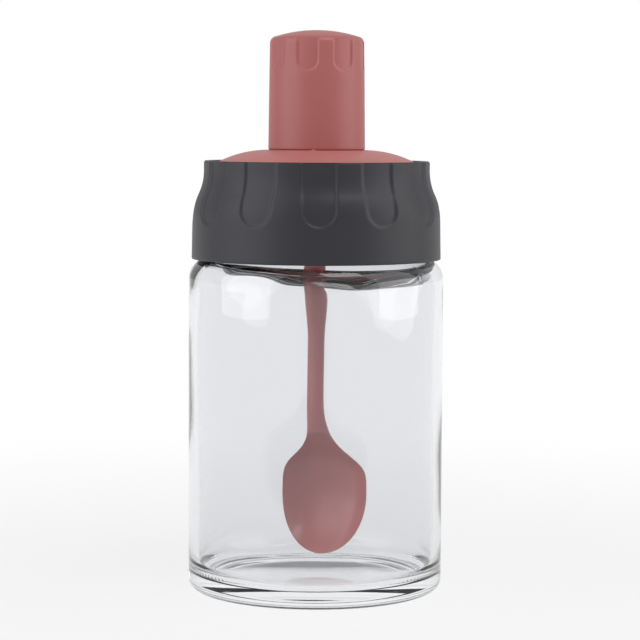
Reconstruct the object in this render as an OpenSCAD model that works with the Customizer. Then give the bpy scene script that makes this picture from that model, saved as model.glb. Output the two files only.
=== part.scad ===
// Spice jar: a round glass jar with a fluted screw ring, a drop-in lid with a tall knob, and a spoon under the lid.
// Millimetres, +Z up, origin at the centre of the base. The front of the jar faces -Y.

/* [Glass jar] */
// Outside diameter of the glass body
body_d = 70; // [62:0.5:78]
// Height of the straight body, up to the start of the shoulder
body_h = 85.6; // [76:0.5:120]
// Thickness of the body wall
glass_wall = 2.7; // [2:0.1:3.2]
// Thickness of the glass base above the resting surface
base_t = 4.2; // [3.5:0.1:7]
// Radius of the rounded heel
heel_r = 3; // [2:0.1:4]
// Radius of the rounded shoulder
shoulder_r = 6; // [5.5:0.1:7]
// Width of the ring that the jar stands on
foot_w = 2.4; // [1.5:0.1:4]
// Height of the hollow under the base, at its middle
push_up = 1.8; // [0.8:0.1:2.5]
// Radius of the rounded corner between the floor and the wall inside
floor_r = 5; // [3:0.1:8]
// How far the neck stands in from the side of the body
neck_step = 5; // [4.6:0.1:6]
// Thickness of the neck wall
neck_wall = 3; // [2.6:0.1:3.3]
// Height of the neck above the shoulder
neck_h = 13.4; // [12:0.1:16]
// Radius of the rounded lip of the neck
lip_r = 1.1; // [0.6:0.1:1.3]

/* [Seal] */
// Thickness of the seal between the glass lip and the screw ring
seal_t = 1.6; // [1:0.1:2.5]
// Gap between the seal and the plug of the lid
seal_hole_clear = 0.6; // [0.3:0.1:1]
// Gap between the seal and the skirt of the ring
seal_rim_clear = 0.7; // [0.3:0.1:1.2]

/* [Screw ring] */
// Room for the screw thread between the neck and the skirt
thread_room = 1.9; // [1.5:0.1:2.3]
// Thickness of the wall behind a flute
ring_wall = 1.8; // [1.4:0.1:2.2]
// Gap between the bottom edge and the glass shoulder
skirt_clear = 0.35; // [0.3:0.05:1]
// How much the skirt narrows from the bottom edge to the flare
skirt_draft = 0.2; // [0:0.05:0.4]
// How far the collar stands in from the skirt
flare_depth = 2.85; // [2.4:0.05:3.2]
// Height of the S-shaped flare
flare_h = 13; // [10:0.1:14]
// Height of the straight part of the collar
collar_h = 2.5; // [1.5:0.1:4]
// Radius of the rounded edges at the top of the collar
collar_edge = 0.5; // [0.2:0.1:0.8]
// Depth of the well that the lid sits in, above the ledge
well_h = 9.6; // [8:0.1:11]
// Thickness of the inner ledge that presses on the seal
ledge_t = 1.8; // [1.2:0.1:2.4]
// How far the ledge reaches in past the mouth of the jar
ledge_reach = 0.1; // [0:0.05:0.5]

/* [Ring flutes] */
// Number of flutes round the ring
ring_flutes = 12; // [8:1:14]
// Width of one flute
ring_flute_w = 9.1; // [6:0.1:11]
// Depth of one flute
ring_flute_depth = 0.5; // [0.3:0.05:0.7]
// Height of a flute's round foot above the bottom edge of the ring
ring_flute_foot = 9.9; // [8:0.1:12]
// Turn of the first flute from the front
ring_flute_turn = 1.4; // [-15:0.1:15]

/* [Lid] */
// Gap all round between the lid and the well of the ring
lid_clear = 0.3; // [0.2:0.05:0.5]
// Wall thickness of the lid
lid_wall = 1.6; // [1.3:0.1:1.9]
// Height of the knob's flat seat above the top of the ring
crown_h = 3; // [2.4:0.1:4]
// Radius of the crown where it curves down from the knob
crown_r = 29.9; // [27:0.1:34]
// Radius of the crown's rounded shoulder
crown_edge = 2.2; // [2:0.1:3]
// Depth of the plug below the flange of the lid
plug_h = 7.4; // [5:0.1:9]
// Gap between the plug and the hole of the ledge
plug_clear = 0.3; // [0.2:0.05:0.5]
// Wall thickness of the socket for the spoon
socket_wall = 1.7; // [1.2:0.1:2.5]

/* [Knob] */
// Diameter at the bottom edge
knob_d = 26.5; // [24:0.1:30]
// How much the side leans in on its way up
knob_draft = 0.35; // [0.1:0.05:0.6]
// Height from the lid to the crest of the knob
knob_h = 32.6; // [28:0.1:40]
// Radius of the domed top
knob_dome_r = 38; // [24:1:60]
// Radius of the rounded top edge
knob_edge = 1.9; // [1.4:0.1:2.4]
// Thickness of the wall behind a flute
knob_wall = 1.5; // [1.2:0.1:1.8]
// Height of the boss that the knob is pressed on
boss_h = 8; // [6:0.1:12]
// Gap between the boss and the knob
boss_clear = 0.1; // [0.05:0.05:0.2]
// Height of the snap bead on the boss
snap_h = 0.3; // [0.2:0.05:0.4]

/* [Knob flutes] */
// Number of flutes round the knob
knob_flutes = 8; // [6:1:9]
// Width of one flute
knob_flute_w = 5.8; // [4:0.1:7]
// Depth of one flute
knob_flute_depth = 0.45; // [0.3:0.05:0.6]
// Height of a flute's round foot above the lid
knob_flute_foot = 21.4; // [16:0.1:23]
// Turn of the first flute from the front
knob_flute_turn = -11.3; // [-22:0.1:22]

/* [Spoon] */
// Height of the spoon's tip above the inside of the base
tip_gap = 4.4; // [3:0.1:12]
// Width of the bowl
bowl_w = 25.4; // [18:0.1:28]
// Length of the bowl from the tip to its widest place
bowl_front = 17; // [14:0.1:20]
// Length from the widest place to the end of the neck of the bowl
bowl_back = 24.4; // [20:0.1:30]
// Depth of the bowl
bowl_depth = 6; // [4:0.1:8]
// Thickness of the bowl's wall
bowl_t = 1.6; // [1.2:0.1:2]
// How far the bowl stands behind the stem
bowl_setback = 6.9; // [3:0.1:9]
// How far the tip comes forward again
tip_forward = 2.6; // [0:0.1:4]
// Width of the slim stem above the bowl
stem_w = 4.6; // [4:0.1:5.4]
// Thickness of the slim stem
stem_t = 3.2; // [2.4:0.1:4]
// Length of the taper between the slim stem and the shank
taper_h = 12; // [8:0.5:16]
// Length of the round shank between the socket and the taper
shank_h = 25; // [16:0.5:28]
// Diameter of the shank and of the root in the socket
root_d = 6.2; // [5.6:0.1:7]
// Length of the root inside the socket of the lid
root_h = 13; // [10:0.1:15]
// Gap between the root and the socket
root_clear = 0.1; // [0.05:0.05:0.2]
// Turn of the spoon about its stem
spoon_turn = -20; // [-90:1:90]

/* [Hidden] */
$fn = 96;
over = 2;

// Glass jar
body_r = body_d / 2;
neck_r = body_r - neck_step;
mouth_r = neck_r - neck_wall;
inner_r = body_r - glass_wall;
shoulder_z = body_h + shoulder_r;
lip_z = shoulder_z + neck_h;
neck_fillet = 0.8;
foot_out_r = body_r - heel_r;
foot_in_r = foot_out_r - foot_w;
foot_bevel = 0.6;
inner_shoulder_r = 4.5;
throat_edge = 1.5;
inside_drop = 1;

// Screw ring
skirt_in_r = neck_r + thread_room;
skirt_r = skirt_in_r + ring_wall + ring_flute_depth;
flare_r = skirt_r - skirt_draft;
collar_r = flare_r - flare_depth;
well_r = collar_r - ring_flute_depth - ring_wall;
ledge_r = mouth_r - ledge_reach;
shoulder_under_skirt = body_h + sqrt(pow(shoulder_r, 2) - pow(skirt_in_r - body_r + shoulder_r, 2));
ring_z = shoulder_under_skirt + skirt_clear;
ledge_z = lip_z + seal_t;
well_z = ledge_z + ledge_t;
ring_top_z = well_z + well_h;
flare_head_z = ring_top_z - collar_h;
flare_foot_z = flare_head_z - flare_h;
flare_angle = 2 * atan(flare_depth / flare_h);
flare_arc_r = flare_h / 2 / sin(flare_angle);

// Lid
lid_r = well_r - lid_clear;
plug_r = ledge_r - plug_clear;
plug_z = well_z - plug_h;
plug_bevel = 0.5;
seat_z = ring_top_z + crown_h;

// Knob and its boss
knob_r = knob_d / 2;
knob_top_r = knob_r - knob_draft;
knob_top_z = seat_z + knob_h;
boss_r = knob_r - knob_flute_depth - knob_wall - boss_clear;
boss_z = seat_z + boss_h;
boss_headroom = 1;
snap_z = seat_z + boss_h * 0.6;
snap_bead_r = 0.9;

// Spoon and its socket
root_r = root_d / 2;
socket_r = root_r + root_clear;
socket_end_z = seat_z - lid_wall;
socket_z = socket_end_z - root_h;
tip_z = base_t + tip_gap;
wide_z = tip_z + bowl_front;
neck_end_z = wide_z + bowl_back;
spoon_sides = 28;
// Shares of bowl_back at which the outline is half way in, the dish ends, and the bend back starts and ends
outline_mid = 0.465;
dish_end = 0.72;
bend_from = 0.25;
bend_to = 1.05;

function smooth(t) = let (x = min(max(t, 0), 1)) x * x * (3 - 2 * x);
function mix(a, b, t) = a + (b - a) * t;
function reversed(points) = [for (i = [len(points) - 1:-1:0]) points[i]];
function arc(centre, r, from, to, steps = 6) =
    [for (i = [0:steps]) let (a = mix(from, to, i / steps)) centre + r * [cos(a), sin(a)]];

// A crest of radius big_r that rolls over a small edge into an upright side, from the side to the crest
function roll_centre(centre, big_r, small_r, side_r) =
    let (x = side_r - small_r - centre[0], reach = big_r - small_r)
    [side_r - small_r, centre[1] + sqrt(reach * reach - x * x)];
function rolled(centre, big_r, small_r, side_r, steps = 5) =
    let (edge = roll_centre(centre, big_r, small_r, side_r), v = edge - centre, a = atan2(v[1], v[0]))
    concat(arc(edge, small_r, 0, a, steps), arc(centre, big_r, a, 90, 8));

// The hollow under the base is a shallow cap, from the axis out to the foot ring
function hollow() =
    let (span = foot_in_r - foot_bevel, rise = push_up - foot_bevel)
    let (cap_r = (span * span + rise * rise) / (2 * rise))
    arc([0, push_up - cap_r], cap_r, 90, 90 - asin(span / cap_r), 5);
// The shoulder's arc meets the fillet of the neck at this angle
neck_meet = acos((neck_r + neck_fillet - body_r + shoulder_r) / (shoulder_r + neck_fillet));
neck_foot = [neck_r + neck_fillet, body_h + (shoulder_r + neck_fillet) * sin(neck_meet)];
function jar_outside() = concat(
    hollow(),
    [[foot_in_r, 0]],
    arc([foot_out_r, heel_r], heel_r, -90, 0),
    arc([body_r - shoulder_r, body_h], shoulder_r, 0, neck_meet, 8),
    arc(neck_foot, neck_fillet, 180 + neck_meet, 180, 3),
    arc([neck_r - lip_r, lip_z - lip_r], lip_r, 0, 90, 4)
);
function jar_inside() = concat(
    arc([mouth_r + lip_r, lip_z - lip_r], lip_r, 90, 180, 4),
    arc([mouth_r + throat_edge, shoulder_z - inside_drop], throat_edge, 180, 230, 3),
    arc([inner_r - inner_shoulder_r, body_h - inside_drop], inner_shoulder_r, 50, 0),
    arc([inner_r - floor_r, base_t + floor_r], floor_r, 0, -90),
    [[0, base_t]]
);

module glass_jar() {
    color("aliceblue", 0.5)
        rotate_extrude()
            polygon(concat(jar_outside(), jar_inside()));
}

module seal_ring() {
    bevel = 0.3;
    hole_r = plug_r + seal_hole_clear;
    rim_r = skirt_in_r - seal_rim_clear;
    color("whitesmoke")
        rotate_extrude()
            polygon([
                [hole_r, lip_z], [rim_r - bevel, lip_z], [rim_r, lip_z + bevel],
                [rim_r, ledge_z], [hole_r, ledge_z]
            ]);
}

// The ring's outside from the bottom edge to the collar, moved in by inset
function ring_outside(inset) = concat(
    [[skirt_r - inset, ring_z]],
    arc([flare_r - flare_arc_r - inset, flare_foot_z], flare_arc_r, 0, flare_angle, 5),
    arc([collar_r + flare_arc_r - inset, flare_head_z], flare_arc_r, 180 + flare_angle, 180, 5)
);

// U-shaped prisms from one radius out to another, round foot down and open at the top
module flute_prisms(count, width, foot_z, top_z, from_r, to_r, turn) {
    for (i = [0:count - 1])
        rotate([0, 0, turn + i * 360 / count])
            translate([0, -from_r, 0])
                rotate([90, 0, 0])
                    linear_extrude(to_r - from_r)
                        union() {
                            translate([0, foot_z + width / 2])
                                circle(d = width);
                            translate([-width / 2, foot_z + width / 2])
                                square([width, top_z + over - foot_z - width / 2]);
                        }
}

module screw_ring() {
    color("dimgray")
        difference() {
            rotate_extrude()
                polygon(concat(
                    ring_outside(0),
                    arc([collar_r - collar_edge, ring_top_z - collar_edge], collar_edge, 0, 90, 3),
                    arc([well_r + collar_edge, ring_top_z - collar_edge], collar_edge, 90, 180, 3),
                    [[well_r, well_z], [ledge_r, well_z], [ledge_r, ledge_z]],
                    [[skirt_in_r, ledge_z], [skirt_in_r, ring_z]]
                ));
            intersection() {
                flute_prisms(ring_flutes, ring_flute_w, ring_z + ring_flute_foot, ring_top_z,
                    well_r, skirt_r + over, ring_flute_turn);
                rotate_extrude()
                    polygon(concat(
                        ring_outside(ring_flute_depth),
                        [[collar_r - ring_flute_depth, ring_top_z + over]],
                        [[skirt_r + over, ring_top_z + over], [skirt_r + over, ring_z]]
                    ));
            }
        }
}

// A rounded bead that stands proud of a wall of radius r, from its top down
function snap_bead(r) =
    let (half = acos((snap_bead_r - snap_h) / snap_bead_r))
    arc([r + snap_h - snap_bead_r, snap_z], snap_bead_r, half, -half, 4);

module inner_lid() {
    crown_centre = [knob_r, seat_z - crown_r];
    color("salmon")
        rotate_extrude()
            polygon(concat(
                [[0, socket_end_z], [0, seat_z], [boss_r - lid_wall, seat_z]],
                [[boss_r - lid_wall, boss_z], [boss_r - plug_bevel, boss_z], [boss_r, boss_z - plug_bevel]],
                snap_bead(boss_r),
                [[boss_r, seat_z]],
                reversed(rolled(crown_centre, crown_r, crown_edge, lid_r)),
                [[lid_r, well_z], [plug_r, well_z], [plug_r, plug_z + plug_bevel]],
                [[plug_r - plug_bevel, plug_z], [plug_r - lid_wall, plug_z]],
                [[plug_r - lid_wall, well_z + lid_wall], [lid_r - lid_wall, well_z + lid_wall]],
                rolled(crown_centre, crown_r - lid_wall, crown_edge - lid_wall, lid_r - lid_wall, 2),
                [[socket_r + socket_wall, socket_end_z], [socket_r + socket_wall, socket_z]],
                [[socket_r, socket_z], [socket_r, socket_end_z]]
            ));
}

module knob() {
    dome_centre = [0, knob_top_z - knob_dome_r];
    side_z = roll_centre(dome_centre, knob_dome_r, knob_edge, knob_top_r)[1];
    roof_t = knob_wall + knob_flute_depth;
    roof_r = knob_top_r - roof_t;
    bore_r = boss_r + boss_clear;
    floor_top_r = knob_top_r - knob_flute_depth;
    color("indianred")
        difference() {
            rotate_extrude()
                polygon(concat(
                    [[bore_r, seat_z], [knob_r, seat_z]],
                    rolled(dome_centre, knob_dome_r, knob_edge, knob_top_r),
                    reversed(rolled(dome_centre, knob_dome_r - roof_t, knob_edge / 2, roof_r, 3)),
                    [[bore_r, boss_z + boss_headroom]],
                    snap_bead(bore_r)
                ));
            intersection() {
                flute_prisms(knob_flutes, knob_flute_w, seat_z + knob_flute_foot, knob_top_z,
                    roof_r, knob_r + over, knob_flute_turn);
                rotate_extrude()
                    polygon([
                        [knob_r - knob_flute_depth, seat_z], [floor_top_r, side_z],
                        [floor_top_r, knob_top_z + over], [knob_r + over, knob_top_z + over],
                        [knob_r + over, seat_z]
                    ]);
            }
        }
}

// The spoon is a loft of oval levels. root_share goes from 0 on the slim stem to 1 on the shank
function root_share(z) = smooth((z - socket_z + shank_h + taper_h) / taper_h);
function outline_share(z) = 1 / (1 + pow((z - wide_z) / bowl_back / outline_mid, 4.8));
function half_width(z) =
    z < wide_z
        ? bowl_w / 2 * sqrt(max(0.0004, 1 - pow((wide_z - z) / bowl_front, 2)))
        : mix(mix(stem_w / 2, root_r, root_share(z)), bowl_w / 2, outline_share(z));
function half_thick(z) =
    z > neck_end_z
        ? mix(stem_t / 2, root_r, root_share(z))
        : mix(bowl_t / 2, stem_t / 2, smooth((z - wide_z) / bowl_back));
function dish(z) =
    let (s = z < wide_z ? (wide_z - z) / bowl_front : (z - wide_z) / bowl_back / dish_end)
    bowl_depth * max(0, 1 - s * s);
function setback(z) =
    bowl_setback * (1 - smooth(((z - wide_z) / bowl_back - bend_from) / (bend_to - bend_from)))
        - tip_forward * pow(max(0, wide_z - z) / bowl_front, 1.6);
function spoon_level(z) = [
    for (i = [0:spoon_sides - 1])
        let (a = i * 360 / spoon_sides, u = cos(a))
        [u * half_width(z), setback(z) + dish(z) * (1 - u * u) - half_thick(z) * sin(a), z]
];

module spoon() {
    front_steps = 14;
    back_steps = 18;
    stem_steps = 10;
    levels = concat(
        [for (i = [0:front_steps - 1]) wide_z - bowl_front * cos(i * 90 / front_steps)],
        [for (i = [0:back_steps - 1]) mix(wide_z, neck_end_z, i / back_steps)],
        [for (i = [0:stem_steps]) mix(neck_end_z, socket_z, i / stem_steps)],
        [socket_end_z - root_clear]
    );
    points = [for (z = levels) each spoon_level(z)];
    last = len(levels) - 1;
    color("indianred")
        rotate([0, 0, spoon_turn])
            polyhedron(points, concat(
                [[for (i = [0:spoon_sides - 1]) i]],
                [for (k = [0:last - 1], i = [0:spoon_sides - 1])
                    let (j = (i + 1) % spoon_sides, low = k * spoon_sides, high = low + spoon_sides)
                    each [[low + i, high + i, low + j], [low + j, high + i, high + j]]],
                [[for (i = [spoon_sides - 1:-1:0]) last * spoon_sides + i]]
            ));
}

glass_jar();
seal_ring();
screw_ring();
inner_lid();
knob();
spoon();
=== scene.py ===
import math

import bmesh
import bpy
import numpy as np
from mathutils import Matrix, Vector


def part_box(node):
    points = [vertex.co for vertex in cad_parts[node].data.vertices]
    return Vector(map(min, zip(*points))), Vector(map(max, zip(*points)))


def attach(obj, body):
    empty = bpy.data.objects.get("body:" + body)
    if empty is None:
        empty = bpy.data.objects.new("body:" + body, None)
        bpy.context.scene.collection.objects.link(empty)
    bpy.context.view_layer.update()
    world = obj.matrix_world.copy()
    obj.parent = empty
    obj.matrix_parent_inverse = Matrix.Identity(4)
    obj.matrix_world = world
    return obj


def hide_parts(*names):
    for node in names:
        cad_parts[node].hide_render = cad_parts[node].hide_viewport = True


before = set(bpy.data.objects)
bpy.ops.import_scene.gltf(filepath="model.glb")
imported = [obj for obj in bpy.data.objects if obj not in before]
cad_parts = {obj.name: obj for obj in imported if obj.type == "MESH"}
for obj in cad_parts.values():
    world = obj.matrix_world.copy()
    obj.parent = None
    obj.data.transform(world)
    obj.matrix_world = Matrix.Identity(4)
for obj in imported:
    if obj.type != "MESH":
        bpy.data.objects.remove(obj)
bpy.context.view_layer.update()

# Glass jar
# Soda-lime glass, pressed and blown in a two-part iron mould. The outside copies the mould and is
# crisp; the inside only met air, so it runs in slow waves, most of all where the shoulder turns in.
# It has a thread on the neck, two mould seams over the shoulder, and short lugs round the foot ring.
MM = 0.001
jar_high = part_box("glass_jar")[1]
body_r = jar_high.x / MM
lip_z = jar_high.z / MM
glass_wall = 2.7
base_t = 4.2
body_h = 85.6
heel_r = 3
shoulder_r = 6
foot_w = 2.4
push_up = 1.8
foot_bevel = 0.6
land_edge = 0.3
floor_r = 5
neck_step = 5
neck_wall = 3
neck_fillet = 0.8
lip_r = 1.1
inner_shoulder_r = 4.5
throat_edge = 1.5
throat_turn = 50
inside_drop = 1
neck_r = body_r - neck_step
mouth_r = neck_r - neck_wall
inner_r = body_r - glass_wall
foot_out_r = body_r - heel_r
foot_in_r = foot_out_r - foot_w
thread_lead = 4
thread_turns = 1.15
thread_w = 2.1
thread_flank = 1.7
thread_run_out = 3
neck_thread_h = 1.25
neck_thread_z = 96
thread_start = math.radians(70)
lug_pitch = 1.7
lug_h = 0.16
lug_columns = 4
seam_h = 0.07
seam_angle = math.radians(-36)
seam_clear = 1
shoulder_reach = 4.5
plug_room = 0.4
mouth_fade = 1.5
floor_fade = 8
# Waves in the glass: size in mm, lobes round the jar, turn in radians per mm upwards, start in radians
shoulder_waves = ((0.2, 3, 0, 1.1), (0.136, 5, 0.33, 0), (0.088, 11, -0.5, 0))
shoulder_lifts = ((0.9, 2, 0, 0.6),)
wall_ripples = ((0.05, 6, 0.11, 0), (0.03, 9, -0.07, 0))
# Steps in mm from an arc to the mesh row beside it
wall_row = 2
floor_row = 3
fine_row = 0.4


def smooth(share):
    share = np.clip(share, 0, 1)
    return share * share * (3 - 2 * share)


def arc(centre, radius, start, end, steps=8):
    """Points (radius, height) along an arc, from one angle to another in degrees."""
    turns = np.radians(np.linspace(start, end, steps + 1))
    return [(centre[0] + radius * math.cos(a), centre[1] + radius * math.sin(a)) for a in turns]


def line(start, end, steps):
    """Points along a straight stretch, without its last one."""
    share = np.arange(steps) / steps
    return [(start[0] + s * (end[0] - start[0]), start[1] + s * (end[1] - start[1])) for s in share]


def closed_mesh(name, points, faces, crease):
    """A smooth piece from points in mm, with its normals outward and its real corners kept sharp."""
    mesh = bpy.data.meshes.new(name)
    mesh.from_pydata((np.asarray(points) * MM).tolist(), [], faces)
    work = bmesh.new()
    work.from_mesh(mesh)
    bmesh.ops.recalc_face_normals(work, faces=work.faces)
    work.to_mesh(mesh)
    work.free()
    mesh.shade_smooth()
    mesh.set_sharp_from_angle(angle=math.radians(crease))
    piece = bpy.data.objects.new(name, mesh)
    bpy.context.scene.collection.objects.link(piece)
    return piece


def lathe(name, parts, columns, crease=38):
    """Turns an outline about the Z axis. Each part is points (radius, height) in mm and a function
    that moves them, given their radius, height and angle. An end on the axis becomes one point."""
    angle = np.arange(columns) * 2 * math.pi / columns
    rows = []
    for points, shape in parts:
        radius, height = (np.array(column)[:, None] + 0 * angle for column in zip(*points))
        if shape:
            radius, height = shape(radius, height, angle + 0 * radius)
        rows.append(np.stack([radius * np.cos(angle), radius * np.sin(angle), height], axis=2))
    rows = np.concatenate(rows)
    first_pole, last_pole = (abs(rows[end, 0, 0]) < 1e-6 for end in (0, -1))
    grid = rows[int(first_pole):len(rows) - int(last_pole)]
    count = len(grid)
    points = grid.reshape(-1, 3)
    step = np.arange(columns)
    after = (step + 1) % columns
    faces = []
    for row in range(count - 1 if first_pole or last_pole else count):
        low, high = row * columns, (row + 1) % count * columns
        faces += np.stack([low + step, low + after, high + after, high + step], axis=1).tolist()
    for pole, row, found in ((rows[0, 0], 0, first_pole), (rows[-1, 0], count - 1, last_pole)):
        if found:
            tip = np.full(columns, len(points))
            points = np.vstack([points, pole])
            faces += np.stack([row * columns + step, row * columns + after, tip], axis=1).tolist()
    return closed_mesh(name, points, faces, crease)


def thread(angle, height, centre_z):
    """How far a point stands in a screw thread's rounded ridge, from 0 at its foot to 1 on its crest."""
    ridge = np.zeros_like(height)
    end = thread_turns * 2 * math.pi
    for lap in (0, 1):
        along = (angle - thread_start) % (2 * math.pi) + lap * 2 * math.pi
        off = abs(height - centre_z - thread_lead * along / (2 * math.pi)) / (thread_w / 2)
        run_out = smooth(along * thread_run_out) * smooth((end - along) * thread_run_out)
        ridge = np.maximum(ridge, smooth(thread_flank * (1 - off)) * run_out)
    return ridge


def hollow():
    """The cap of glass pushed up under the base, from the axis to the foot ring."""
    span, rise = foot_in_r - foot_bevel, push_up - foot_bevel
    cap_r = (span * span + rise * rise) / (2 * rise)
    edge = 90 - math.degrees(math.asin(span / cap_r))
    return arc((0, push_up - cap_r), cap_r, 90, edge, 14)


def mould_marks(radius, height, angle):
    """The thread, the seams and the lugs, which the mould gives the outside."""
    seam = abs((angle - seam_angle + math.pi / 2) % math.pi - math.pi / 2) < math.pi / glass_columns
    on_shoulder = (height > body_h) & (radius > neck_r + seam_clear)
    radius = radius + neck_thread_h * thread(angle, height, neck_thread_z)
    radius = np.minimum(radius + seam * on_shoulder * seam_h, body_r)
    on_foot = (height == 0) & (radius > foot_in_r + land_edge / 2) & (radius < foot_out_r - land_edge / 2)
    column = (angle * glass_columns / (2 * math.pi) + 0.5).astype(int)
    gap = column % lug_columns < lug_columns / 2
    return radius, height + on_foot * gap * lug_h


def waves(rows, height, angle):
    return sum(size * np.sin(lobes * angle + turn * height + start) for size, lobes, turn, start in rows)


def blown_waves(radius, height, angle):
    """Slow waves in the inside, strongest at the shoulder, none in the mouth where the lid's plug fits."""
    near_shoulder = np.exp(-((height - body_h - inside_drop) / shoulder_reach) ** 2)
    inside = smooth((radius - mouth_r - plug_room) / mouth_fade) * smooth((height - base_t) / floor_fade)
    sideways = near_shoulder * waves(shoulder_waves, height, angle) + waves(wall_ripples, height, angle)
    upwards = near_shoulder * waves(shoulder_lifts, height, angle)
    return radius + inside * sideways, height + inside * upwards


glass_columns = lug_columns * round(2 * math.pi * (foot_out_r - foot_w / 2) / lug_pitch)
neck_meet = math.degrees(math.acos((shoulder_r + neck_fillet - neck_step) / (shoulder_r + neck_fillet)))
neck_foot = (
    neck_r + neck_fillet,
    body_h + (shoulder_r + neck_fillet) * math.sin(math.radians(neck_meet)),
)
glass_outside = (
    hollow()
    + [(foot_in_r, 0), (foot_in_r + land_edge, 0), (foot_out_r - land_edge, 0)]
    + arc((foot_out_r, heel_r), heel_r, -90, 0, 9)
    + line((body_r, heel_r + wall_row), (body_r, body_h), 9)
    + arc((body_r - shoulder_r, body_h), shoulder_r, 0, neck_meet, 12)
    + arc(neck_foot, neck_fillet, 180 + neck_meet, 180, 3)
    + line((neck_r, neck_foot[1] + fine_row), (neck_r, lip_z - lip_r), 34)
    + arc((neck_r - lip_r, lip_z - lip_r), lip_r, 0, 90, 5)
)
glass_inside = (
    arc((mouth_r + lip_r, lip_z - lip_r), lip_r, 90, 180, 5)
    + line((mouth_r, lip_z - lip_r - wall_row), (mouth_r, body_h + shoulder_r), 4)
    + arc((mouth_r + throat_edge, body_h + shoulder_r - inside_drop), throat_edge, 180, 180 + throat_turn, 5)
    + arc((inner_r - inner_shoulder_r, body_h - inside_drop), inner_shoulder_r, throat_turn, 0, 9)
    + line((inner_r, body_h - inside_drop - wall_row), (inner_r, base_t + floor_r + wall_row), 16)
    + arc((inner_r - floor_r, base_t + floor_r), floor_r, 0, -90, 9)
    + line((inner_r - floor_r - floor_row, base_t), (0, base_t), 5)
    + [(0, base_t)]
)
jar = lathe("glass_jar_blown", [(glass_outside, mould_marks), (glass_inside, blown_waves)], glass_columns)


def add(tree, kind, inputs=(), **settings):
    """Adds a node with its settings, and sets or links its inputs."""
    made = tree.nodes.new(kind)
    for name, value in settings.items():
        setattr(made, name, value)
    for socket, value in dict(inputs).items():
        if isinstance(value, bpy.types.NodeSocket):
            tree.links.new(value, made.inputs[socket])
        else:
            made.inputs[socket].default_value = value
    return made


def hex_colour(code):
    """A linear colour from an sRGB hex value."""
    parts = [int(code[i:i + 2], 16) / 255 for i in (1, 3, 5)]
    return tuple(p / 12.92 if p <= 0.04045 else ((p + 0.055) / 1.055) ** 2.4 for p in parts) + (1,)


def empty_material(name):
    made = bpy.data.materials.new(name)
    made.use_nodes = True
    made.node_tree.nodes.clear()
    return made, made.node_tree


def finish_piece(piece, material, body, slot, *nodes):
    """Gives a piece its material and body, and lets it stand for its nodes of the frame. The slot is not
    used.
    """
    piece.data.materials.append(material)
    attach(piece, body)
    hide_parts(*nodes)


# Blown soda-lime glass: clear with a trace of grey, a fire-polished skin with faint long ripples.
# Rays from the lamps pass straight through, as light does through a thin clear wall.
glass, tree = empty_material("soda_lime_glass_blown")
place = add(tree, "ShaderNodeTexCoord")
ripple_mm = 22
ripples = add(tree, "ShaderNodeTexNoise", {
    "Vector": place.outputs["Object"], "Scale": 1 / (ripple_mm * MM), "Detail": 1.0})
skin = add(tree, "ShaderNodeBump", {
    "Height": ripples.outputs["Fac"], "Strength": 0.25, "Distance": 0.35 * MM})
clear = add(tree, "ShaderNodeBsdfPrincipled", {
    "Base Color": hex_colour("#EFF0F2"), "Roughness": 0.015, "IOR": 1.51,
    "Transmission Weight": 1.0, "Normal": skin.outputs["Normal"]})
passing = add(tree, "ShaderNodeBsdfTransparent", {"Color": hex_colour("#F4F5F5")})
rays = add(tree, "ShaderNodeLightPath")
both = add(tree, "ShaderNodeMixShader", {
    0: rays.outputs["Is Shadow Ray"], 1: clear.outputs[0], 2: passing.outputs[0]})
add(tree, "ShaderNodeOutputMaterial", {"Surface": both.outputs[0]})
finish_piece(jar, glass, "jar", "glass", "glass_jar")

# Seal ring
# A flat ring of milky silicone, moulded with one rounded edge. It lies on the glass lip, and the
# ledge of the screw ring presses it down.
seal_low, seal_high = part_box("seal_ring")
seal_rim_r = seal_high.x / MM
seal_w = 4.0
seal_edge = 0.3
seal_columns = 160
seal_z, seal_top_z = seal_low.z / MM, seal_high.z / MM
seal_outline = (
    line((seal_rim_r - seal_w, seal_z), (seal_rim_r - seal_edge, seal_z), 4)
    + arc((seal_rim_r - seal_edge, seal_z + seal_edge), seal_edge, -90, 0, 4)
    + line((seal_rim_r, seal_top_z), (seal_rim_r - seal_w, seal_top_z), 4)
    + [(seal_rim_r - seal_w, seal_top_z)]
)
seal = lathe("seal_ring_silicone", [(seal_outline, None)], seal_columns)

# Moulded silicone: milky and soft, lets a little light in and has a dry, slightly dusty skin.
silicone, tree = empty_material("silicone_moulded")
place = add(tree, "ShaderNodeTexCoord")
dust_mm = 0.6
dust = add(tree, "ShaderNodeTexNoise", {
    "Vector": place.outputs["Object"], "Scale": 1 / (dust_mm * MM), "Detail": 3.0})
milk = add(tree, "ShaderNodeMix", {
    "Factor": dust.outputs["Fac"], 6: hex_colour("#E4E3DE"), 7: hex_colour("#F1F0EC")}, data_type="RGBA")
dry = add(tree, "ShaderNodeBump", {
    "Height": dust.outputs["Fac"], "Strength": 0.3, "Distance": 0.05 * MM})
soft = add(tree, "ShaderNodeBsdfPrincipled", {
    "Base Color": milk.outputs[2], "Roughness": 0.5, "IOR": 1.41, "Subsurface Weight": 0.35,
    "Subsurface Radius": (1, 1, 1), "Subsurface Scale": 1.2 * MM, "Normal": dry.outputs["Normal"]})
add(tree, "ShaderNodeOutputMaterial", {"Surface": soft.outputs[0]})
finish_piece(seal, silicone, "seal", "silicone", "seal_ring")

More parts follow.
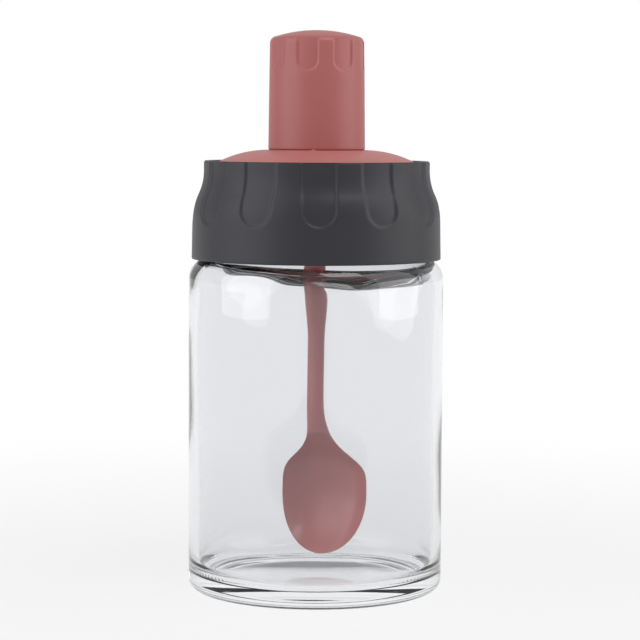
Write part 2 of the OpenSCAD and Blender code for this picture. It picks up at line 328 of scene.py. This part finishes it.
# Screw ring
# Polypropylene, moulded in one shot: a skirt that flares in to a collar, twelve shallow thumb flutes
# open at the top, a well for the lid, a ledge that presses on the seal, and a thread in the skirt.
ring_low, ring_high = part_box("screw_ring")
skirt_r = ring_high.x / MM
ring_z, ring_top_z = ring_low.z / MM, ring_high.z / MM
skirt_draft = 0.2
flare_depth = 2.85
flare_h = 13
collar_h = 2.5
collar_edge = 0.5
ledge_t = 1.8
ledge_reach = 0.1
ring_wall = 1.8
thread_room = 1.9
bottom_edge = 0.3
side_row = 1
foot_lean, flare_lean = 0.02, 0.03
thread_row = 0.2
ring_flutes = 12
ring_flute_w = 9.1
ring_flute_depth = 0.5
ring_flute_foot = 9.9
ring_flute_turn = 1.4
ring_flute_slope = 0.9
ring_columns = ring_flutes * 50
ring_thread_h = 1.25
ring_thread_drop = 1.75
flare_r = skirt_r - skirt_draft
collar_r = flare_r - flare_depth
skirt_in_r = neck_r + thread_room
well_r = collar_r - ring_flute_depth - ring_wall
ledge_r = mouth_r - ledge_reach
ledge_z = seal_top_z
well_z = ledge_z + ledge_t
flare_head_z = ring_top_z - collar_h
flare_foot_z = flare_head_z - flare_h
flare_angle = 2 * math.degrees(math.atan(flare_depth / flare_h))
flare_arc_r = flare_h / 2 / math.sin(math.radians(flare_angle))
flute_start = (flare_r + flare_lean, ring_z + ring_flute_foot - side_row)
skirt = (
    arc((skirt_r - bottom_edge, ring_z + bottom_edge), bottom_edge, -90, 0, 3)
    + line((skirt_r - foot_lean, ring_z + side_row), flute_start, 4)
    + line(flute_start, (flare_r, flare_foot_z), 8)
    + arc((flare_r - flare_arc_r, flare_foot_z), flare_arc_r, 0, flare_angle, 19)
    + arc((collar_r + flare_arc_r, flare_head_z), flare_arc_r, 180 + flare_angle, 180, 19)[1:]
    + line((collar_r, flare_head_z + fine_row), (collar_r, ring_top_z - collar_edge), 4)
)
skirt_profile = np.array(sorted((height, radius) for radius, height in skirt)).T


def flute_share(angle, height, radius, count, turn, width, foot_z, slope):
    """1 inside a flute that is open at the top and round at its foot, falling to 0 over its slope."""
    pitch = 2 * math.pi / count
    off = (angle - math.radians(turn) + math.pi / 2 + pitch / 2) % pitch - pitch / 2
    across = radius * np.sin(off)
    below = np.minimum(height - foot_z - width / 2, 0)
    return smooth((width / 2 - np.hypot(across, below)) / slope + 0.5)


def thumb_flutes(radius, height, angle):
    share = flute_share(angle, height, radius, ring_flutes, ring_flute_turn, ring_flute_w,
                        ring_z + ring_flute_foot, ring_flute_slope)
    bottom = np.interp(height, *skirt_profile) - ring_flute_depth
    return radius - share * np.maximum(radius - bottom, 0), height


def inner_thread(radius, height, angle):
    ridge = thread(angle, height, neck_thread_z - ring_thread_drop)
    return radius - ring_thread_h * ridge, height


ring = lathe("screw_ring_moulded", [
    (skirt + arc((collar_r - collar_edge, ring_top_z - collar_edge), collar_edge, 0, 90, 6), thumb_flutes),
    (arc((well_r + collar_edge, ring_top_z - collar_edge), collar_edge, 90, 180, 5), None),
    (line((well_r, ring_top_z - wall_row), (well_r, well_z), 2), None),
    ([(well_r, well_z), (ledge_r, well_z), (ledge_r, ledge_z), (skirt_in_r, ledge_z)], None),
    (line((skirt_in_r, ledge_z - wall_row), (skirt_in_r, ring_z + thread_row), 42), inner_thread),
    ([(skirt_in_r, ring_z)], None),
], ring_columns)


cloud_mm = 14
streak_mm = 0.9
streak_stretch = 0.03
speck_core = 0.6
polish_spread = 0.05


def moulded_plastic(name, colour, cloud, roughness, grain_mm, grain_depth, specks=None, shine=0.5, drag=0.0):
    """Moulded polypropylene. The tool's steel was spark-eroded or polished, which gives the skin its fine
    grain; slow clouds are where the melt cooled at different speeds; specks are dust that sits on it."""
    made, tree = empty_material(name)
    place = add(tree, "ShaderNodeTexCoord")
    clouds = add(tree, "ShaderNodeTexNoise", {
        "Vector": place.outputs["Object"], "Scale": 1 / (cloud_mm * MM), "Detail": 3.0})
    tone = add(tree, "ShaderNodeMix", {
        "Factor": clouds.outputs["Fac"], 6: hex_colour(cloud), 7: hex_colour(colour)}, data_type="RGBA")
    shown = tone.outputs[2]
    if specks:
        speck_pitch_mm, speck_mm, speck_colour = specks
        cells = add(tree, "ShaderNodeTexVoronoi", {
            "Vector": place.outputs["Object"], "Scale": 1 / (speck_pitch_mm * MM)})
        size = speck_mm / speck_pitch_mm / 2
        dot = add(tree, "ShaderNodeMapRange", {
            "Value": cells.outputs["Distance"], "From Min": size * speck_core, "From Max": size,
            "To Min": 1.0, "To Max": 0.0})
        dusty = add(tree, "ShaderNodeMix", {
            "Factor": dot.outputs[0], 6: shown, 7: hex_colour(speck_colour)}, data_type="RGBA")
        shown = dusty.outputs[2]
    grain = add(tree, "ShaderNodeTexNoise", {
        "Vector": place.outputs["Object"], "Scale": 1 / (grain_mm * MM), "Detail": 2.0})
    skin = add(tree, "ShaderNodeBump", {
        "Height": grain.outputs["Fac"], "Strength": 0.4, "Distance": grain_depth * MM})
    if drag:
        upright = add(tree, "ShaderNodeMapping", {
            "Vector": place.outputs["Object"], "Scale": (1, 1, streak_stretch)})
        streaks = add(tree, "ShaderNodeTexNoise", {
            "Vector": upright.outputs[0], "Scale": 1 / (streak_mm * MM), "Detail": 2.0})
        skin = add(tree, "ShaderNodeBump", {
            "Height": streaks.outputs["Fac"], "Strength": 0.3, "Distance": drag * MM,
            "Normal": skin.outputs["Normal"]})
    polish = add(tree, "ShaderNodeMapRange", {
        "Value": clouds.outputs["Fac"],
        "To Min": roughness - polish_spread, "To Max": roughness + polish_spread})
    plastic = add(tree, "ShaderNodeBsdfPrincipled", {
        "Base Color": shown, "Roughness": polish.outputs[0], "IOR": 1.49,
        "Specular IOR Level": shine, "Normal": skin.outputs["Normal"]})
    add(tree, "ShaderNodeOutputMaterial", {"Surface": plastic.outputs[0]})
    return made


# Charcoal polypropylene from a spark-eroded mould: matte with a slight violet cast and a soft sheen.
charcoal = moulded_plastic("polypropylene_charcoal_matte", "#2B2931", "#25232A", 0.44, 0.35, 0.03,
                           specks=(9.5, 0.55, "#B9B9B4"), shine=0.45)
finish_piece(ring, charcoal, "ring", "ring_plastic", "screw_ring")

# Inner lid
# Rose polypropylene: a low crown that the knob stands on, a plug that drops into the ledge, a boss
# that holds the knob and a socket below for the spoon. A gate mark stands at the foot of the knob.
lid_low, lid_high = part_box("inner_lid")
knob_low, knob_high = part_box("knob")
knob_r = knob_high.x / MM
seat_z = knob_low.z / MM
boss_z = lid_high.z / MM
lid_wall = 1.6
crown_r = 29.9
crown_edge = 2.2
lid_r = lid_high.x / MM
plug_clear = 0.3
plug_r = ledge_r - plug_clear
plug_z = lid_low.z / MM
plug_bevel = 0.5
knob_wall = 1.5
knob_flute_depth = 0.45
boss_clear = 0.1
boss_r = knob_r - knob_flute_depth - knob_wall - boss_clear
root_r = 3.1
root_clear = 0.1
root_h = 13
socket_wall = 1.7
socket_r = root_r + root_clear
socket_out_r = socket_r + socket_wall
socket_end_z = seat_z - lid_wall
socket_z = socket_end_z - root_h
snap_h = 0.3
snap_bead_r = 0.9
snap_share = 0.6
snap_z = seat_z + (boss_z - seat_z) * snap_share
gate_angle = math.radians(-93.5)
gate_r = 0.9
gate_h = 0.35
gate_offset = 0.5
gate_margin = 0.05
gate_centre_r = knob_r + gate_offset
lid_columns = 320


def rolled(centre, big_r, small_r, side_r, steps=5, crest_steps=12):
    """A crest of big radius that rolls over a small edge into an upright side, from the side up."""
    reach = side_r - small_r - centre[0]
    edge = (side_r - small_r, centre[1] + math.sqrt((big_r - small_r) ** 2 - reach ** 2))
    meet = math.degrees(math.atan2(edge[1] - centre[1], edge[0] - centre[0]))
    return arc(edge, small_r, 0, meet, steps) + arc(centre, big_r, meet, 90, crest_steps)[1:]


def snap_bead(radius):
    """A low round bead on an upright wall, from its top down."""
    half = math.degrees(math.acos((snap_bead_r - snap_h) / snap_bead_r))
    return arc((radius + snap_h - snap_bead_r, snap_z), snap_bead_r, half, -half, 5)


def gate_mark(radius, height, angle):
    """The small round pip where the melt came in."""
    away = np.hypot(radius * np.cos(angle) - gate_centre_r * math.cos(gate_angle),
                    radius * np.sin(angle) - gate_centre_r * math.sin(gate_angle))
    clear_of_knob = radius > knob_r + gate_margin
    return radius, height + gate_h * smooth((gate_r - away) / gate_r) * clear_of_knob


crown_centre = (knob_r, seat_z - crown_r)
crown = rolled(crown_centre, crown_r, crown_edge, lid_r, 6, 26)[::-1]
lid = lathe("inner_lid_moulded", [
    ([(0, socket_end_z), (0, seat_z), (boss_r - lid_wall, seat_z)], None),
    (line((boss_r - lid_wall, seat_z + side_row), (boss_r - lid_wall, boss_z), 2), None),
    ([(boss_r - lid_wall, boss_z), (boss_r - plug_bevel, boss_z), (boss_r, boss_z - plug_bevel)], None),
    (snap_bead(boss_r) + [(boss_r, seat_z)], None),
    (crown, gate_mark),
    ([(lid_r, well_z), (plug_r, well_z), (plug_r, plug_z + plug_bevel)], None),
    ([(plug_r - plug_bevel, plug_z), (plug_r - lid_wall, plug_z)], None),
    ([(plug_r - lid_wall, well_z + lid_wall), (lid_r - lid_wall, well_z + lid_wall)], None),
    (rolled(crown_centre, crown_r - lid_wall, crown_edge - lid_wall, lid_r - lid_wall, 3, 8), None),
    ([(socket_out_r, socket_end_z), (socket_out_r, socket_z)], None),
    ([(socket_r, socket_z), (socket_r, socket_end_z)], None),
], lid_columns)

# Rose polypropylene from a vapour-blasted mould: a satin, dusty pink that pales where light grazes it.
rose = moulded_plastic("polypropylene_rose_satin", "#C67C76", "#BF746F", 0.44, 0.4, 0.02)
finish_piece(lid, rose, "lid", "lid_plastic", "inner_lid")

# Knob
# A hollow thimble of the same rose polypropylene, pressed on the lid's boss. Its side leans in a
# little, its top is a low dome, and eight short finger flutes run out over the rounded top edge.
knob_top_z = knob_high.z / MM
knob_draft = 0.35
knob_dome_r = 38
knob_edge = 1.9
knob_flutes = 8
knob_flute_w = 5.8
knob_flute_foot = 21.4
knob_flute_turn = -11.3
knob_flute_slope = 0.6
knob_columns = knob_flutes * 48
knob_foot_gap = 0.12
knob_foot_edge = 0.3
knob_foot_inset, knob_foot_step = 0.35, 0.25
boss_headroom = 1
dome_reach = 1
knob_top_r = knob_r - knob_draft
roof_t = knob_wall + knob_flute_depth
bore_r = boss_r + boss_clear
dome_centre = (0, knob_top_z - knob_dome_r)
knob_over = rolled(dome_centre, knob_dome_r, knob_edge, knob_top_r, 9, 14)
knob_side_z = knob_over[0][1]
flute_start_z = seat_z + knob_flute_foot - knob_flute_slope
lean = knob_draft / (knob_side_z - seat_z)
flute_side_r = knob_r - lean * (flute_start_z - seat_z)


def finger_flutes(radius, height, angle):
    across_r = np.maximum(radius, knob_top_r - dome_reach)
    share = flute_share(angle, height, across_r, knob_flutes, knob_flute_turn, knob_flute_w,
                        seat_z + knob_flute_foot, knob_flute_slope)
    side = knob_r - lean * np.minimum(height - seat_z, knob_side_z - seat_z)
    return radius - share * np.maximum(radius - side + knob_flute_depth, 0), height


foot_gap_z = seat_z + knob_foot_gap
foot_centre = (knob_r - knob_foot_edge, foot_gap_z + knob_foot_edge)
knob = lathe("knob_moulded", [
    ([(bore_r, seat_z), (knob_r - knob_foot_inset, seat_z), (knob_r - knob_foot_step, foot_gap_z)], None),
    (arc(foot_centre, knob_foot_edge, -90, 0, 4)[1:], None),
    (line((knob_r - foot_lean, seat_z + side_row), (flute_side_r, flute_start_z), 8), None),
    (line((flute_side_r, flute_start_z), (knob_top_r, knob_side_z), 36) + knob_over, finger_flutes),
    (rolled(dome_centre, knob_dome_r - roof_t, knob_edge / 2, knob_top_r - roof_t, 4)[::-1], None),
    ([(bore_r, boss_z + boss_headroom)] + snap_bead(bore_r), None),
], knob_columns)

# The same plastic, with fine upright drag marks from sliding out of the mould.
rose_knob = moulded_plastic("polypropylene_rose_drawn", "#BA6C68", "#B1625E", 0.4, 0.5, 0.015, drag=0.02)
finish_piece(knob, rose_knob, "lid", "knob_plastic", "knob")

# Spoon
# One moulding of the rose polypropylene with a glossier skin. Its round root is pressed into the
# lid's socket, the stem slims below it, and the bowl is set back with steep sides and a soft rim.
spoon_low, spoon_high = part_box("spoon")
tip_z = spoon_low.z / MM
root_top_z = spoon_high.z / MM
bowl_w = 25.4
bowl_front = 17
bowl_back = 24.4
bowl_depth = 6
bowl_t = 1.6
bowl_setback = 6.9
tip_forward = 2.6
stem_w = 4.6
stem_t = 3.2
shank_h = 25
taper_h = 12
spoon_turn = math.radians(-20)
outline_mid = 0.465
outline_power = 4.8
least_tip = 0.0004
dish_end = 0.72
dish_power = 2.4
dish_fullness = 3.2
bend_from, bend_to = 0.25, 1.05
tip_power = 1.6
root_row = 6
wide_z = tip_z + bowl_front
neck_end_z = wide_z + bowl_back
spoon_sides = 72


def mix(start, end, share):
    return start + (end - start) * share


def spoon_level(height):
    """One oval level of the spoon: points round it, before the spoon is turned about its stem."""
    thick_share = smooth((height - socket_z + shank_h + taper_h) / taper_h)
    stem = mix(stem_w / 2, root_r, thick_share)
    if height < wide_z:
        short = (wide_z - height) / bowl_front
        half_w = bowl_w / 2 * math.sqrt(max(least_tip, 1 - short ** 2))
        dish_share = short
    else:
        back = (height - wide_z) / bowl_back
        half_w = mix(stem, bowl_w / 2, 1 / (1 + (back / outline_mid) ** outline_power))
        dish_share = back / dish_end
    half_t = mix(bowl_t / 2, stem_t / 2, smooth((height - wide_z) / bowl_back))
    if height > neck_end_z:
        half_t = mix(stem_t / 2, root_r, thick_share)
    dish = bowl_depth * max(0, 1 - dish_share ** dish_power)
    bend = 1 - smooth(((height - wide_z) / bowl_back - bend_from) / (bend_to - bend_from))
    forward = tip_forward * (max(0, wide_z - height) / bowl_front) ** tip_power
    setback = bowl_setback * bend - forward
    turn = np.arange(spoon_sides) * 2 * math.pi / spoon_sides
    across = np.cos(turn)
    depth = setback + dish * (1 - abs(across) ** dish_fullness) - half_t * np.sin(turn)
    return np.stack([across * half_w, depth, 0 * turn + height], axis=1)


front_rows = 30
front_levels = wide_z - bowl_front * np.cos(np.arange(front_rows) * math.pi / 2 / front_rows)
back_levels = np.linspace(wide_z, neck_end_z, 40, endpoint=False)
stem_levels = np.linspace(neck_end_z, socket_z, 24)
levels = [*front_levels, *back_levels, *stem_levels, socket_z + root_row, root_top_z]
spoon_points = np.concatenate([spoon_level(height) for height in levels])
swing = np.array([[math.cos(spoon_turn), math.sin(spoon_turn), 0],
                  [-math.sin(spoon_turn), math.cos(spoon_turn), 0], [0, 0, 1]])
side = np.arange(spoon_sides)
next_side = (side + 1) % spoon_sides
spoon_faces = [side.tolist(), (side + (len(levels) - 1) * spoon_sides)[::-1].tolist()]
for row in range(len(levels) - 1):
    low, high = row * spoon_sides, (row + 1) * spoon_sides
    spoon_faces += np.stack([low + side, high + side, high + next_side, low + next_side], axis=1).tolist()
spoon = closed_mesh("spoon_moulded", spoon_points @ swing, spoon_faces, crease=60)

# Glossier rose polypropylene from a polished mould, with a few tiny pale specks.
rose_spoon = moulded_plastic("polypropylene_rose_gloss", "#B86C6A", "#AD605F", 0.3, 0.8, 0.03,
                             specks=(4.2, 0.4, "#E9C4C0"))
finish_piece(spoon, rose_spoon, "lid", "spoon_plastic", "spoon")

# Floor
# A pale table top that runs to white with distance and keeps a faint shadow under the jar. It is
# part of the stage, not of the jar.
floor_size = 6.0
shadow_keep = 0.22
floor_mesh = bpy.data.meshes.new("floor")
half = floor_size / 2
floor_corners = [(-half, -half, 0), (half, -half, 0), (half, half, 0), (-half, half, 0)]
floor_mesh.from_pydata(floor_corners, [], [(0, 1, 2, 3)])
floor = bpy.data.objects.new("floor", floor_mesh)
bpy.context.scene.collection.objects.link(floor)
pale, tree = empty_material("pale_table_top")
place = add(tree, "ShaderNodeNewGeometry")
away = add(tree, "ShaderNodeVectorMath", {0: place.outputs["Position"]}, operation="LENGTH")
fade = add(tree, "ShaderNodeMapRange", {
    "Value": away.outputs["Value"], "From Min": 0.05, "From Max": 0.35,
    "To Min": 1 - shadow_keep, "To Max": 1.0}, interpolation_type="SMOOTHSTEP")
rays = add(tree, "ShaderNodeLightPath")
sharp = add(tree, "ShaderNodeMath", {
    0: rays.outputs["Is Camera Ray"], 1: rays.outputs["Is Transmission Ray"]}, operation="MAXIMUM")
seen = add(tree, "ShaderNodeMath", {
    0: sharp.outputs[0], 1: rays.outputs["Is Glossy Ray"]}, operation="MAXIMUM")
first = add(tree, "ShaderNodeMath", {0: rays.outputs["Diffuse Depth"], 1: 0.5}, operation="LESS_THAN")
shown = add(tree, "ShaderNodeMath", {0: seen.outputs[0], 1: first.outputs[0]}, operation="MULTIPLY")
share = add(tree, "ShaderNodeMath", {0: shown.outputs[0], 1: fade.outputs[0]}, operation="MULTIPLY")
lit = add(tree, "ShaderNodeBsdfDiffuse", {"Color": hex_colour("#EDEDED")})
white = add(tree, "ShaderNodeEmission", {"Color": hex_colour("#FFFFFF"), "Strength": 1.0})
table = add(tree, "ShaderNodeMixShader", {0: share.outputs[0], 1: lit.outputs[0], 2: white.outputs[0]})
add(tree, "ShaderNodeOutputMaterial", {"Surface": table.outputs[0]})
floor_mesh.materials.append(pale)

# Studio
# White all round to the eye and through the glass, dimmer in reflections, and a plain level of
# light on the object: two upright soft boxes at the sides and a smaller one above.
world = bpy.data.worlds.new("studio")
bpy.context.scene.world = world
world.use_nodes = True
tree = world.node_tree
tree.nodes.clear()
gloss_share = 0.55
rays = add(tree, "ShaderNodeLightPath")
sharp = add(tree, "ShaderNodeMath", {
    0: rays.outputs["Is Camera Ray"], 1: rays.outputs["Is Transmission Ray"]}, operation="MAXIMUM")
gloss = add(tree, "ShaderNodeMath", {0: rays.outputs["Is Glossy Ray"], 1: gloss_share}, operation="MULTIPLY")
seen = add(tree, "ShaderNodeMath", {0: sharp.outputs[0], 1: gloss.outputs[0]}, operation="MAXIMUM")
first = add(tree, "ShaderNodeMath", {0: rays.outputs["Diffuse Depth"], 1: 0.5}, operation="LESS_THAN")
share = add(tree, "ShaderNodeMath", {0: seen.outputs[0], 1: first.outputs[0]}, operation="MULTIPLY")
around = add(tree, "ShaderNodeBackground", {"Color": hex_colour("#F4F6FA"), "Strength": 0.25})
backdrop = add(tree, "ShaderNodeBackground", {"Color": hex_colour("#FFFFFF"), "Strength": 1.0})
both = add(tree, "ShaderNodeMixShader", {
    0: share.outputs[0], 1: around.outputs[0], 2: backdrop.outputs[0]})
add(tree, "ShaderNodeOutputWorld", {"Surface": both.outputs[0]})

jar_middle = 0.08


def soft_box(name, azimuth, elevation, distance, width, height, watts):
    """A soft box aimed at the middle of the jar. Azimuth 0 is the viewer's side, 90 is to the right."""
    lamp = bpy.data.lights.new(name, "AREA")
    lamp.shape = "RECTANGLE"
    lamp.size, lamp.size_y = width, height
    lamp.energy = watts
    box = bpy.data.objects.new(name, lamp)
    turn, rise = math.radians(azimuth), math.radians(elevation)
    out = distance * math.cos(rise)
    box.location = (out * math.sin(turn), -out * math.cos(turn), jar_middle + distance * math.sin(rise))
    box.rotation_euler = (math.radians(90 - elevation), 0, turn)
    box.visible_camera = False
    bpy.context.scene.collection.objects.link(box)


soft_box("soft_box_left", -66, 14, 0.9, 0.9, 1.4, 6.4)
soft_box("soft_box_right", 80, 16, 0.9, 0.8, 1.4, 5.2)
soft_box("soft_box_high", 34, 58, 0.8, 0.35, 0.3, 1.5)

# Camera
# It stands level with the lid, about 650 mm away, and looks a little down with a long lens, as the
# photograph does.
camera_data = bpy.data.cameras.new("camera")
camera_data.sensor_width = 36
camera_data.lens = 132.4
camera_pitch, camera_roll = 4.7525, -0.28
camera = bpy.data.objects.new("camera", camera_data)
camera.location = (0.00088, -0.6465, 0.128)
camera.rotation_euler = (math.radians(90 - camera_pitch), math.radians(camera_roll), 0)
bpy.context.scene.collection.objects.link(camera)
bpy.context.scene.camera = camera
bpy.context.scene.view_settings.view_transform = "Standard"
